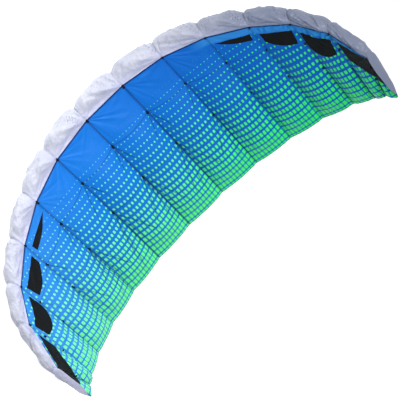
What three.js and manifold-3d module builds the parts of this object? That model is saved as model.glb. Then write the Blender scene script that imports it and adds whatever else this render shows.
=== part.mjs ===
// A foil stunt kite: two skins of thin ripstop cloth over fourteen cloth ribs, blown up by the
// wind through black mesh inlets. It lies on its back, belly up, with both wing tips curling up.
// Units are millimetres. X runs along the span, Y towards the leading edge and Z is up.
import * as THREE from "three";
import { mergeVertices } from "three/addons/utils/BufferGeometryUtils.js";
import Module from "manifold-3d";

// Cloth and seams.
const CLOTH = 1.0;
const SEAM_GAP = 0.3;
const RIB_CLOTH = 1.0;
const RIB_CLEARANCE = 0.6;
const TOE_IN_CLEARANCE = 0.02;

// The wing laid out: half its span along the arc, and the cut of its middle.
const ROOT_CHORD = 666;
const ARC_HALF_WIDTH = 836;
const ARC_HEIGHT = 460;

// One row for each rib from the middle to a wing tip, and the tip last.
// span: distance from the middle along the arc. setback: how far the front seam lies behind the
// middle's. toeIn: how much nearer the middle the rib's back end is. skew: how far the photographed
// wing sets this rib forward on the right side and back on the left.
const STATIONS = [
  { span: 98, setback: 0, toeIn: 0, skew: 0 },
  { span: 288, setback: 21, toeIn: 0, skew: 0 },
  { span: 466, setback: 67, toeIn: 0, skew: 0 },
  { span: 628, setback: 134, toeIn: 0, skew: 0 },
  { span: 772, setback: 208, toeIn: 0, skew: 0 },
  { span: 888, setback: 304, toeIn: 6, skew: 0 },
  { span: 990, setback: 459, toeIn: 58, skew: 13 },
  { span: 1000, setback: 650, toeIn: 0, skew: 0 },
];
// The section from the front seam around the nose and over the top to the trailing edge,
// as shares of the rib's chord: back is behind the seam, out is away from the belly.
const TOP_SECTION = [
  { back: 0, out: 0 },
  { back: -0.048, out: 0.018 },
  { back: -0.075, out: 0.058 },
  { back: -0.058, out: 0.102 },
  { back: 0, out: 0.134 },
  { back: 0.11, out: 0.15 },
  { back: 0.27, out: 0.146 },
  { back: 0.46, out: 0.114 },
  { back: 0.66, out: 0.07 },
  { back: 0.84, out: 0.031 },
  { back: 1, out: 0 },
];
const NOSE_SHARE = 0.075;
const NOSE_MINIMUM = 2;
const TRAILING_STACK = 2 * CLOTH + 0.4;
const BELLY_CAMBER = 0.01;

// How far the air blows the cloth out between two ribs, as a share of the cell's width. The cells
// differ a little in it. At the trailing edge both skins follow one line, bowed to the belly's side.
const TOP_BULGE = 0.11;
const BELLY_BULGE = 0.155;
const EDGE_BULGE = 0.05;
const UNEVENNESS = 0.08;
const UNEVEN_TURN = 2.3;
// The belly is fully round from this share of its length, in the middle cell and at the tips.
const BELLY_ROUND_MIDDLE = 0.45;
const BELLY_ROUND_TIP = 0.8;

// How the wing lies: nose raised, and the middle of its back pressed flat on the ground. The flat
// spot's centre is the origin, this far behind the front seam.
const NOSE_UP = THREE.MathUtils.degToRad(12.5);
const PRESSED_FLAT = 9;
const REST_SETBACK = 310;

// Round ports of a rib, as shares of its chord.
const RIB_PORTS = [
  { back: 0.12, out: 0.075, radius: 0.035 },
  { back: 0.36, out: 0.068, radius: 0.03 },
];

// How finely each piece is meshed.
const ACROSS = 5;
const BELLY_ROWS = 12;
const TOP_ROWS = 16;
const RIB_BELLY_ROWS = 4;

const FINISHES = {
  belly: { color: 0x2f86dc, roughness: 0.62 },
  top: { color: 0xeeeef4, roughness: 0.6 },
  rib: { color: 0xe6e8ee, roughness: 0.7 },
  inlet: { color: 0x0b0c0e, roughness: 0.85 },
};

// How far a plug that cuts an inlet reaches to each side of the belly.
const PLUG_REACH = 12;

// The air inlets of one side, one row for each. cell counts from the middle cell, which is 0.
// Each corner is [share of the cell's width from its inner rib, mm behind the front seam].
const INLETS = [
  { cell: 3, corners: [[0.06, 41], [0.5, 38], [0.9, 36], [0.88, 66], [0.45, 62]] },
  { cell: 4, corners: [[0.1, 41], [0.5, 38], [0.92, 32], [0.86, 99], [0.62, 106], [0.34, 102], [0.1, 85]] },
  { cell: 5, corners: [[0.08, 39], [0.5, 46], [0.9, 38], [0.84, 116], [0.5, 146], [0.24, 150], [0.08, 133]] },
  { cell: 6, corners: [[0.1, 34], [0.55, 20], [1.02, 8], [1.02, 107], [0.5, 107], [0.1, 124]] },
  { cell: 7, corners: [[-0.02, 8], [0.66, 13], [0.3, 68], [-0.02, 108]] },
];

const { smoothstep, lerp } = THREE.MathUtils;

const wasm = await Module();
wasm.setup();

// The front view of the wing is half an ellipse, walked by length.
function arcAngleTable(steps) {
  const stride = Math.PI / 2 / steps;
  const table = [{ length: 0, angle: 0 }];
  for (let i = 1; i <= steps; i += 1) {
    const middle = (i - 0.5) * stride;
    const pace = Math.hypot(ARC_HALF_WIDTH * Math.cos(middle), ARC_HEIGHT * Math.sin(middle));
    table.push({ length: table[i - 1].length + pace * stride, angle: i * stride });
  }
  return table;
}

const ARC_TABLE = arcAngleTable(720);

function arcAngle(length) {
  const i = Math.max(1, ARC_TABLE.findIndex((row) => row.length >= length));
  const before = ARC_TABLE[i - 1];
  const after = ARC_TABLE[i];
  return THREE.MathUtils.mapLinear(length, before.length, after.length, before.angle, after.angle);
}

// Where a rib or a tip stands: the front end of its chord, the chord's length and direction, the
// direction away from the belly, and how far the rib keeps from the skins, which run over it
// at a slant where it toes in.
function station(row, side) {
  const front = arcAngle(row.span);
  const rear = arcAngle(row.span - row.toeIn);
  const place = (angle, y) => new THREE.Vector3(
    side * ARC_HALF_WIDTH * Math.sin(angle), y, ARC_HEIGHT * (1 - Math.cos(angle)));
  const lead = place(front, side * row.skew - row.setback);
  const back = place(rear, -ROOT_CHORD).sub(lead);
  const out = new THREE.Vector3(
    side * ARC_HEIGHT * Math.sin(front), 0, -ARC_HALF_WIDTH * Math.cos(front)).normalize();
  const clearance = RIB_CLEARANCE + TOE_IN_CLEARANCE * row.toeIn;
  return { lead, chord: back.length(), back: back.normalize(), out, clearance };
}

const stations = [
  ...[...STATIONS].reverse().map((row) => station(row, -1)),
  ...STATIONS.map((row) => station(row, 1)),
];

// A cell lies between two stations. Its width is taken square to the longer of its ribs.
const MIDDLE = (stations.length - 2) / 2;

const cells = stations.slice(1).map((right, i) => {
  const left = stations[i];
  const { back } = left.chord > right.chord ? left : right;
  const across = right.lead.clone().sub(left.lead);
  across.addScaledVector(back, -across.dot(back));
  return {
    left,
    right,
    width: across.length(),
    fullness: 1 + UNEVENNESS * Math.sin(UNEVEN_TURN * i),
    bellyRound: lerp(BELLY_ROUND_MIDDLE, BELLY_ROUND_TIP, Math.abs(i - MIDDLE) / MIDDLE),
  };
});

const topCurve = new THREE.CatmullRomCurve3(
  TOP_SECTION.map((row) => new THREE.Vector3(row.back, row.out, 0)), false, "centripetal");

// A point of the top's outer face at share t of its section, in mm behind the front seam and
// away from the belly, with the direction that the face looks in.
function topSection(chord, t) {
  const point = topCurve.getPoint(t);
  const tangent = topCurve.getTangent(t);
  const stretch = point.x < 0 ? 1 + NOSE_MINIMUM / (NOSE_SHARE * chord) : 1;
  const out = point.y * chord + TRAILING_STACK * smoothstep(t, 0, 0.35);
  let facing = [-tangent.y, tangent.x];
  if (t === 0) {
    facing = [0, -1];
  } else if (t === 1) {
    facing = [0, 1];
  }
  return { back: point.x * chord * stretch, out, facing };
}

// The same for the belly's outer face.
function bellySection(chord, t) {
  const back = lerp(SEAM_GAP, chord, t);
  return { back, out: -4 * BELLY_CAMBER * chord * t * (1 - t), facing: [0, -1] };
}

function onStation(at, back, out) {
  return at.lead.clone().addScaledVector(at.back, back).addScaledVector(at.out, out);
}

// How far the cloth stands out at the middle of a cell, as a share of the cell's width. tail goes
// from 0 to 1 over the last of the chord.
function bulge(cell, kind, t, tail) {
  if (kind === "top") {
    const air = TOP_BULGE * smoothstep(t, 0, 0.22) * (1 - smoothstep(t, 0.7, 1));
    return lerp(air * cell.fullness, -EDGE_BULGE, tail);
  }
  return lerp(BELLY_BULGE * smoothstep(t, 0, cell.bellyRound) * cell.fullness, EDGE_BULGE, tail);
}

// A point of a cell's outer face at share a across it and t along its section.
function clothPoint(cell, kind, a, t) {
  const section = kind === "top" ? topSection : bellySection;
  const left = section(cell.left.chord, t);
  const right = section(cell.right.chord, t);
  const point = onStation(cell.left, left.back, left.out)
    .lerp(onStation(cell.right, right.back, right.out), a);
  const back = cell.left.back.clone().lerp(cell.right.back, a).normalize();
  const out = cell.left.out.clone().lerp(cell.right.out, a).normalize();
  const facing = back.clone().multiplyScalar(left.facing[0])
    .addScaledVector(out, left.facing[1]).normalize();
  const crown = 4 * a * (1 - a);
  const tail = smoothstep(left.back / cell.left.chord, 0.85, 1);
  point.addScaledVector(facing, bulge(cell, kind, t, tail) * crown * cell.width);
  return { point, facing };
}

// The wing is turned nose up, then let down until its middle is pressed flat on the ground.
const noseUp = new THREE.Matrix4().makeRotationX(NOSE_UP);

function lowestPoint() {
  const heights = Array.from({ length: 65 }, (_, i) => (
    clothPoint(cells[MIDDLE], "top", 0.5, i / 64).point.applyMatrix4(noseUp).z));
  return Math.min(...heights);
}

const GROUND = lowestPoint() + PRESSED_FLAT;

function layDown(point, lowest) {
  const laid = point.clone().applyMatrix4(noseUp);
  laid.y += REST_SETBACK;
  laid.z = Math.max(laid.z - GROUND, lowest);
  return laid;
}

// A solid from points and triangles, turned to face outward.
function makeSolid(points, triangles) {
  const volume = triangles.reduce((sum, [a, b, c]) => (
    sum + points[a].dot(points[b].clone().cross(points[c])) / 6), 0);
  const facingOut = volume > 0 ? triangles : triangles.map(([a, b, c]) => [a, c, b]);
  const vertProperties = new Float32Array(points.flatMap((p) => [p.x, p.y, p.z]));
  const triVerts = new Uint32Array(facingOut.flat());
  return new wasm.Manifold(new wasm.Mesh({ numProp: 3, vertProperties, triVerts }));
}

// One sheet of a cell: its outer and inner faces, and the four edges that close them.
function clothSolid(cell, kind, rows) {
  const outer = [];
  const inner = [];
  const margin = SEAM_GAP / 2 / cell.width;
  for (let j = 0; j <= rows; j += 1) {
    for (let i = 0; i <= ACROSS; i += 1) {
      const { point, facing } = clothPoint(cell, kind, lerp(margin, 1 - margin, i / ACROSS), j / rows);
      outer.push(layDown(point, 0));
      inner.push(layDown(point.addScaledVector(facing, -CLOTH), CLOTH));
    }
  }
  const half = outer.length;
  const at = (i, j) => j * (ACROSS + 1) + i;
  const triangles = [];
  const quad = (a, b, c, d) => triangles.push([a, b, c], [a, c, d]);
  const wall = (a, b) => quad(b, a, half + a, half + b);
  for (let j = 0; j < rows; j += 1) {
    for (let i = 0; i < ACROSS; i += 1) {
      // Both faces are split along the same diagonal, which keeps them a cloth's thickness apart.
      const [a, b, c, d] = [at(i, j), at(i + 1, j), at(i + 1, j + 1), at(i, j + 1)];
      quad(a, b, c, d);
      quad(half + a, half + d, half + c, half + b);
    }
    wall(at(ACROSS, j), at(ACROSS, j + 1));
    wall(at(0, j + 1), at(0, j));
  }
  for (let i = 0; i < ACROSS; i += 1) {
    wall(at(i, 0), at(i + 1, 0));
    wall(at(i + 1, rows), at(i, rows));
  }
  return makeSolid([...outer, ...inner], triangles);
}

// A three.js extrusion with each of its points moved to its place on the wing.
function bendExtrusion(shape, depth, curveSegments, place) {
  const extrusion = new THREE.ExtrudeGeometry(shape, { depth, curveSegments, bevelEnabled: false });
  extrusion.deleteAttribute("normal");
  extrusion.deleteAttribute("uv");
  const merged = mergeVertices(extrusion, 1e-4);
  const position = merged.getAttribute("position");
  const points = Array.from({ length: position.count }, (_, i) => (
    place(new THREE.Vector3().fromBufferAttribute(position, i))));
  const index = Array.from(merged.getIndex().array);
  const triangles = Array.from({ length: index.length / 3 }, (_, i) => index.slice(3 * i, 3 * i + 3));
  return makeSolid(points, triangles);
}

// A rib: a flat sheet inside the two skins, with round ports that let the air even out.
function ribSolid(at) {
  const clear = CLOTH + at.clearance;
  const outline = [];
  for (let i = 1; i < TOP_ROWS; i += 1) {
    const { back, out, facing } = topSection(at.chord, i / TOP_ROWS);
    outline.push(new THREE.Vector2(back - clear * facing[0], out - clear * facing[1]));
  }
  const end = outline[outline.length - 1].x;
  for (let i = RIB_BELLY_ROWS; i >= 0; i -= 1) {
    const back = lerp(clear, end, i / RIB_BELLY_ROWS);
    outline.push(new THREE.Vector2(back, bellySection(at.chord, back / at.chord).out + clear));
  }
  const shape = new THREE.Shape(outline);
  RIB_PORTS.forEach(({ back, out, radius }) => {
    const port = new THREE.Path();
    port.absarc(back * at.chord, out * at.chord, radius * at.chord, 0, 2 * Math.PI);
    shape.holes.push(port);
  });
  const across = at.back.clone().cross(at.out).normalize();
  return bendExtrusion(shape, RIB_CLOTH, 4, (corner) => layDown(
    onStation(at, corner.x, corner.y).addScaledVector(across, corner.z - RIB_CLOTH / 2), 0));
}

// Moves each side of an outline inward by a margin.
function insetOutline(corners, margin) {
  const turn = Math.sign(THREE.ShapeUtils.area(corners));
  const sides = corners.map((from, i) => {
    const along = corners[(i + 1) % corners.length].clone().sub(from).normalize();
    const inward = new THREE.Vector2(-along.y, along.x).multiplyScalar(turn * margin);
    return { from: from.clone().add(inward), along };
  });
  return sides.map((side, i) => {
    const last = sides[(i + sides.length - 1) % sides.length];
    const step = side.from.clone().sub(last.from).cross(side.along) / last.along.cross(side.along);
    return last.from.clone().addScaledVector(last.along, step);
  });
}

// A plug that stands through a cell's belly along an inlet's outline.
function inletPlug(cell, side, corners, margin) {
  const flat = corners.map(([share, back]) => new THREE.Vector2(share * cell.width, back));
  const shape = new THREE.Shape(insetOutline(flat, margin));
  return bendExtrusion(shape, 2 * PLUG_REACH, 1, (corner) => {
    const share = corner.x / cell.width;
    const a = side > 0 ? share : 1 - share;
    const chord = lerp(cell.left.chord, cell.right.chord, a);
    const { point, facing } = clothPoint(cell, "belly", a, corner.y / chord);
    return layDown(point.addScaledVector(facing, corner.z - PLUG_REACH), 0);
  });
}

const kite = new THREE.Group();

function addPiece(name, solid, finish) {
  const { numProp, vertProperties, triVerts } = solid.getMesh();
  const geometry = new THREE.BufferGeometry();
  geometry.setAttribute("position", new THREE.BufferAttribute(vertProperties, numProp));
  geometry.setIndex(new THREE.BufferAttribute(triVerts, 1));
  const mesh = new THREE.Mesh(geometry, new THREE.MeshStandardMaterial(finish));
  mesh.name = name;
  kite.add(mesh);
}

const numbered = (name, i) => `${name}_${String(i + 1).padStart(2, "0")}`;

// Sewn in from the left wing tip to the right.
const bellies = cells.map((cell) => clothSolid(cell, "belly", BELLY_ROWS));

INLETS.forEach(({ cell, corners }) => [-1, 1].forEach((side) => {
  const i = MIDDLE + side * cell;
  const mesh = bellies[i].intersect(inletPlug(cells[i], side, corners, SEAM_GAP));
  bellies[i] = bellies[i].subtract(inletPlug(cells[i], side, corners, 0));
  addPiece(numbered("air_inlet", i), mesh, FINISHES.inlet);
}));

bellies.forEach((solid, i) => addPiece(numbered("belly_panel", i), solid, FINISHES.belly));
cells.forEach((cell, i) => addPiece(numbered("top_panel", i), clothSolid(cell, "top", TOP_ROWS), FINISHES.top));
stations.slice(1, -1).forEach((at, i) => addPiece(numbered("rib", i), ribSolid(at), FINISHES.rib));

export default kite;
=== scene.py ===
"""Dresses the foil stunt kite: printed belly, white top, mesh air inlets and bridle loops.

Every size is in metres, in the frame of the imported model: X along the span, Y towards the
leading edge, Z up, with the kite lying on its back.
"""

import math

import bpy
import numpy as np
from mathutils import Matrix, Vector
from mathutils.geometry import delaunay_2d_cdt


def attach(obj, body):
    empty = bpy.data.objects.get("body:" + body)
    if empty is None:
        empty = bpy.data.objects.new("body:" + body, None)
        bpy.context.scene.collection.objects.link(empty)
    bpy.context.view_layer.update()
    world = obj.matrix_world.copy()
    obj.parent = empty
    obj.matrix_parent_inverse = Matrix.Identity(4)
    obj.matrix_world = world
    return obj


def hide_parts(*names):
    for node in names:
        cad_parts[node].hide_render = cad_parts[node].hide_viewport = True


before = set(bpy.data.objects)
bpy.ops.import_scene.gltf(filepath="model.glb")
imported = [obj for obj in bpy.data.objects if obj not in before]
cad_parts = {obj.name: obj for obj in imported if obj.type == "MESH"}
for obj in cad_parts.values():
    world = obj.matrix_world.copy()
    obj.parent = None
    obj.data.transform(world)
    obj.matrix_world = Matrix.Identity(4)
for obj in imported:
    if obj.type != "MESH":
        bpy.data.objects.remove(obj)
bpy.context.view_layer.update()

# The wing, with the same sizes as the solids.
ROOT_CHORD = 0.666
ARC_HALF_WIDTH = 0.836
ARC_HEIGHT = 0.460
# One row for each rib from the middle to a tip, and the tip last: distance from the middle along
# the arc, how far the front seam lies back, toe-in of the rear end, and forward skew.
STATIONS = (
    (0.098, 0.000, 0.000, 0.000),
    (0.288, 0.021, 0.000, 0.000),
    (0.466, 0.067, 0.000, 0.000),
    (0.628, 0.134, 0.000, 0.000),
    (0.772, 0.208, 0.000, 0.000),
    (0.888, 0.304, 0.006, 0.000),
    (0.990, 0.459, 0.058, 0.013),
    (1.000, 0.650, 0.000, 0.000),
)
# The section from the front seam around the nose to the trailing edge: back and out, as shares
# of the chord.
TOP_SECTION = (
    (0.0, 0.0),
    (-0.048, 0.018),
    (-0.075, 0.058),
    (-0.058, 0.102),
    (0.0, 0.134),
    (0.11, 0.15),
    (0.27, 0.146),
    (0.46, 0.114),
    (0.66, 0.07),
    (0.84, 0.031),
    (1.0, 0.0),
)
NOSE_SHARE = 0.075
NOSE_MINIMUM = 0.002
TRAILING_STACK = 0.0024
BELLY_CAMBER = 0.01
TOP_BULGE = 0.11
BELLY_BULGE = 0.155
EDGE_BULGE = 0.05
UNEVENNESS = 0.08
UNEVEN_TURN = 2.3
BELLY_ROUND_MIDDLE = 0.45
BELLY_ROUND_TIP = 0.8
NOSE_UP = math.radians(12.5)
PRESSED_FLAT = 0.009
REST_SETBACK = 0.310
SEAM_GAP = 0.0003
CLOTH = 0.0008

# Where the loops sit on each rib, as shares of its chord.
LOOP_ROWS = (0.006, 0.233, 0.518)
# How far the sewn lines between the rear two rows of loops sag, as shares of the chord.
SPAN_LINE_SAGS = (0.012, 0.010)

# The creases behind the loops: their layer, how far they run, and their slopes away from the rib.
CREASES = (
    ("behind_b", 0.13, (0.34,)),
    ("behind_c", 0.28, (0.13, 0.38)),
)

# How finely the cloth is meshed across a cell, and how far the columns crowd towards the ribs.
COLUMNS = 34
COLUMN_CROWDING = 0.75

# The air inlets of one side. cell counts from the middle. Each corner is the share of the cell's
# width from its inner rib, the distance behind the front seam, and whether the corner is sharp.
INLETS = (
    (3, ((0.06, 0.041, 1), (0.5, 0.038, 0), (0.9, 0.036, 1), (0.88, 0.066, 1), (0.45, 0.062, 0))),
    (4, ((0.1, 0.041, 1), (0.5, 0.038, 0), (0.92, 0.032, 1), (0.86, 0.099, 1), (0.62, 0.106, 0),
         (0.34, 0.102, 0), (0.1, 0.085, 1))),
    (5, ((0.08, 0.039, 1), (0.5, 0.046, 0), (0.9, 0.038, 1), (0.84, 0.116, 1), (0.5, 0.146, 0),
         (0.24, 0.150, 1), (0.08, 0.133, 0))),
    (6, ((0.1, 0.034, 1), (0.55, 0.020, 0), (1.02, 0.008, 1), (1.02, 0.107, 1), (0.5, 0.107, 0),
         (0.1, 0.124, 1))),
    (7, ((-0.02, 0.008, 1), (0.66, 0.013, 1), (0.3, 0.068, 0), (-0.02, 0.108, 1))),
)

# The print: a grid of soft-cornered dots that grow towards the trailing edge.
DOT_PITCH = (0.0174, 0.029)
DOT_PHASE = (0.0015, 0.434)
DOT_START = 0.115
DOT_WIDTH = (0.0034, 0.0147)
DOT_HEIGHT = (0.0030, 0.0242)
# How round the dots are, from 1 for a circle to 0 for a sharp corner, over these rows.
DOT_ROUNDNESS = (0.95, 0.4)
DOT_ROUNDNESS_ROWS = (0.2, 0.5)


def smoothstep(x, low, high):
    t = np.clip((np.asarray(x, float) - low) / (high - low), 0, 1)
    return t * t * (3 - 2 * t)


def lerp(a, b, t):
    return a + (b - a) * t


def unit(v):
    return v / np.maximum(np.linalg.norm(v, axis=-1, keepdims=True), 1e-12)


# The front view of the wing is half an ellipse, walked by length.
ARC_ANGLES = np.linspace(0, math.pi / 2, 1441)
ARC_PACE = np.hypot(ARC_HALF_WIDTH * np.cos(ARC_ANGLES), ARC_HEIGHT * np.sin(ARC_ANGLES))
ARC_LENGTHS = np.concatenate(([0], np.cumsum((ARC_PACE[1:] + ARC_PACE[:-1]) / 2 * np.diff(ARC_ANGLES))))


def station(row, side):
    """Where a rib or tip stands: the front end and direction of its chord, and the way out."""
    span, setback, toe_in, skew = row
    front, rear = np.interp((span, span - toe_in), ARC_LENGTHS, ARC_ANGLES)

    def place(angle, y):
        return np.array((side * ARC_HALF_WIDTH * math.sin(angle), y, ARC_HEIGHT * (1 - math.cos(angle))))

    lead = place(front, side * skew - setback)
    back = place(rear, -ROOT_CHORD) - lead
    out = unit(np.array((side * ARC_HEIGHT * math.sin(front), 0, -ARC_HALF_WIDTH * math.cos(front))))
    return {
        "lead": lead,
        "chord": np.linalg.norm(back),
        "back": unit(back),
        "out": out,
        "spans": (side * span, side * (span - toe_in)),
    }


stations = [station(row, -1) for row in reversed(STATIONS)] + [station(row, 1) for row in STATIONS]
MIDDLE = (len(stations) - 2) // 2


def make_cell(i):
    """The cloth between two stations. Its width is taken square to the longer of its ribs."""
    left, right = stations[i], stations[i + 1]
    back = left["back"] if left["chord"] > right["chord"] else right["back"]
    across = right["lead"] - left["lead"]
    across = across - back * (across @ back)
    return {
        "i": i,
        "left": left,
        "right": right,
        "width": np.linalg.norm(across),
        "chord": (left["chord"] + right["chord"]) / 2,
        "fullness": 1 + UNEVENNESS * math.sin(UNEVEN_TURN * i),
        "belly_round": lerp(BELLY_ROUND_MIDDLE, BELLY_ROUND_TIP, abs(i - MIDDLE) / MIDDLE),
    }


cells = [make_cell(i) for i in range(len(stations) - 1)]


def centripetal_curve(points, count):
    """Points of a centripetal Catmull-Rom curve, evenly spaced in its parameter."""
    p = np.array(points, float)
    p = np.vstack((2 * p[0] - p[1], p, 2 * p[-1] - p[-2]))
    at = np.linspace(0, len(points) - 1, count)
    k = np.minimum(at.astype(int), len(points) - 2)
    w = (at - k)[:, None]
    a, b, c, d = (p[k + j] for j in range(4))
    gap_a, gap_b, gap_c = (
        np.sqrt(np.linalg.norm(q - r, axis=1, keepdims=True)) for q, r in ((b, a), (c, b), (d, c)))
    slope_b = ((b - a) / gap_a - (c - a) / (gap_a + gap_b) + (c - b) / gap_b) * gap_b
    slope_c = ((c - b) / gap_b - (d - b) / (gap_b + gap_c) + (d - c) / gap_c) * gap_b
    return (b + slope_b * w + (3 * (c - b) - 2 * slope_b - slope_c) * w**2
            + (2 * (b - c) + slope_b + slope_c) * w**3)


TOP_CURVE = centripetal_curve(TOP_SECTION, 2001)
TOP_SHARES = np.linspace(0, 1, len(TOP_CURVE))
TOP_TANGENT = unit(np.gradient(TOP_CURVE, axis=0))


def top_section(chord, t):
    """The top's outer face: distance back, distance out, and the direction it looks in."""
    back = np.interp(t, TOP_SHARES, TOP_CURVE[:, 0])
    out = np.interp(t, TOP_SHARES, TOP_CURVE[:, 1])
    back = np.where(back < 0, back * (chord + NOSE_MINIMUM / NOSE_SHARE), back * chord)
    facing_back = -np.interp(t, TOP_SHARES, TOP_TANGENT[:, 1])
    facing_out = np.interp(t, TOP_SHARES, TOP_TANGENT[:, 0])
    ends = (t < 1e-6) | (t > 1 - 1e-6)
    facing_back = np.where(ends, 0.0, facing_back)
    facing_out = np.where(t < 1e-6, -1.0, np.where(t > 1 - 1e-6, 1.0, facing_out))
    return back, out * chord + TRAILING_STACK * smoothstep(t, 0, 0.35), facing_back, facing_out


def belly_section(chord, t):
    """The same for the belly's outer face."""
    back = lerp(SEAM_GAP, chord, t)
    out = -4 * BELLY_CAMBER * chord * t * (1 - t)
    return back, out, np.zeros_like(t), -np.ones_like(t)


def bulge(cell, kind, t, tail):
    """How far the cloth stands out in mid-cell, as a share of the cell's width."""
    if kind == "top":
        air = TOP_BULGE * smoothstep(t, 0, 0.22) * (1 - smoothstep(t, 0.7, 1))
        return lerp(air * cell["fullness"], -EDGE_BULGE, tail)
    air = BELLY_BULGE * smoothstep(t, 0, cell["belly_round"])
    return lerp(air * cell["fullness"], EDGE_BULGE, tail)


def cloth_points(cell, kind, a, t, lift=0.0):
    """Points of a cell's outer face at shares a across it and t along its section."""
    section = top_section if kind == "top" else belly_section
    left, right = cell["left"], cell["right"]
    ends = []
    for at in (left, right):
        back, out, facing_back, facing_out = section(at["chord"], t)
        ends.append(at["lead"] + back[:, None] * at["back"] + out[:, None] * at["out"])
        if at is left:
            share = back / at["chord"]
            facing = (facing_back, facing_out)
    point = lerp(ends[0], ends[1], a[:, None])
    back = unit(lerp(left["back"], right["back"], a[:, None]))
    out = unit(lerp(left["out"], right["out"], a[:, None]))
    facing = unit(back * facing[0][:, None] + out * facing[1][:, None])
    stand = bulge(cell, kind, t, smoothstep(share, 0.85, 1)) * 4 * a * (1 - a) * cell["width"]
    return point + facing * (stand + lift)[:, None], facing


NOSE_TURN = np.array(Matrix.Rotation(NOSE_UP, 3, "X"))
_probe = cloth_points(cells[MIDDLE], "top", np.full(65, 0.5), np.linspace(0, 1, 65))[0] @ NOSE_TURN.T
GROUND = _probe[:, 2].min() + PRESSED_FLAT


def lay_down(points, lowest=0.0):
    """Turns the wing nose up and lets it down until its middle is pressed flat on the ground."""
    laid = points @ NOSE_TURN.T
    laid[:, 1] += REST_SETBACK
    laid[:, 2] = np.maximum(laid[:, 2] - GROUND, lowest)
    return laid


def soft_noise(x, seed, step):
    """Smooth noise along x with bumps about step apart."""
    knots = np.random.default_rng(seed).uniform(-1, 1, 4096)
    at = np.asarray(x, float) / step + 1000
    k = np.floor(at).astype(int)
    w = at - k
    w = w * w * (3 - 2 * w)
    return knots[k % 4096] * (1 - w) + knots[(k + 1) % 4096] * w


def soft_noise_2d(x, y, seed, step):
    knots = np.random.default_rng(seed).uniform(-1, 1, (256, 256))
    at = [np.asarray(c, float) / step + 500 for c in (x, y)]
    k = [np.floor(c).astype(int) for c in at]
    w = [c - j for c, j in zip(at, k)]
    w = [c * c * (3 - 2 * c) for c in w]
    rows = [
        knots[k[0] % 256, (k[1] + j) % 256] * (1 - w[0]) + knots[(k[0] + 1) % 256, (k[1] + j) % 256] * w[0]
        for j in (0, 1)]
    return rows[0] * (1 - w[1]) + rows[1] * w[1]


def tent(distance, width):
    """A sharp crest that falls straight to nothing at that distance."""
    return np.maximum(0, 1 - np.abs(distance) / width)


def crumple(x, y, seed, step):
    """Creased cloth: flat facets between sharp ridges, from -1 to 1."""
    warp = 0.4 * step * soft_noise_2d(x, y, seed + 1, 1.7 * step)
    return 1 - 3 * np.abs(soft_noise_2d(x + warp, 0.8 * y + warp, seed, step))


# Wrinkles. Heights and steps between bumps are in metres. A pair is where an effect starts and is
# full, or starts to end and ends.
SLACK_HEIGHT, SLACK_STEP = 0.0010, 0.055
BELLY_CRUMPLE_HEIGHT, BELLY_CRUMPLE_STEP = 0.00035, 0.03
TOP_CRUMPLE_HEIGHT, TOP_CRUMPLE_STEP = 0.0006, 0.034
NOSE_CRUMPLE_HEIGHT, NOSE_CRUMPLE_START = 0.0008, (0.014, 0.045)
NOSE_END = (0.34, 0.5)
NOSE_FULLNESS, NOSE_FULLNESS_START = 0.030, (0.02, 0.07)
# The nose's large fold: where it starts, as shares of width and chord, and where it meets the rib.
FOLD_HEIGHT, FOLD_WIDTHS, FOLD_LEAD = 0.0115, (0.030, 0.045), 0.05
FOLD_ACROSS, FOLD_SWAY, FOLD_TURN = 0.34, 0.08, 5.1
FOLD_BACK, FOLD_FOOT, FOLD_END = 0.105, 0.012, (0.01, 0.07)
# Its straight creases.
NOSE_CREASES, NOSE_CREASE_START = 9, (0.016, 0.03)
CREASE_ACROSS, CREASE_BACK, CREASE_TURN = (0.12, 0.88), (0.05, 0.21), (-1.1, 0.35)
CREASE_LENGTH, CREASE_HEIGHT, CREASE_WIDTH = (0.03, 0.07), (0.0030, 0.0062), (0.008, 0.016)
# Creases that fan over the nose, by the end of the cell.
FAN_HEIGHTS, FAN_STEP, FAN_START, FAN_END = (0.0016, 0.0028), 0.16, (0.015, 0.04), (0.07, 0.15)
# Gathers square to a rib: the step between them, how far they reach, and their share of the depth.
GATHERS = ((0.011, 0.014, 0.5), (0.021, 0.030, 1.0))
GATHER_SLANT, GATHER_SLANT_STEP = 0.5, 0.09
# Streaks and long folds of the belly.
STREAK_HEIGHT, STREAK_STEP, STREAK_START, STREAK_END = 0.0013, 0.12, (0.004, 0.03), (0.06, 0.20)
LONG_FOLD_HEIGHT, LONG_FOLD_STEP, LONG_FOLD_REACH = 0.0034, 0.0085, 0.042
LONG_FOLD_SPREAD, LONG_FOLD_WANDER, LONG_FOLD_WANDER_STEP = (0.45, 1.25), 0.003, 0.08
GROOVE_DEPTH, GROOVE_WIDTH = 0.0025, 0.012
# The gathered strips in front of the right side's inlets.
STRIP_HEIGHT, STRIP_STEP, STRIP_SLANT = 0.0050, 0.0085, 0.3
STRIP_START, STRIP_END = (0.002, 0.01), (0.04, 0.08)
SEAM_RISE = 0.004
FRONT_RISE = 0.008


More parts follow.
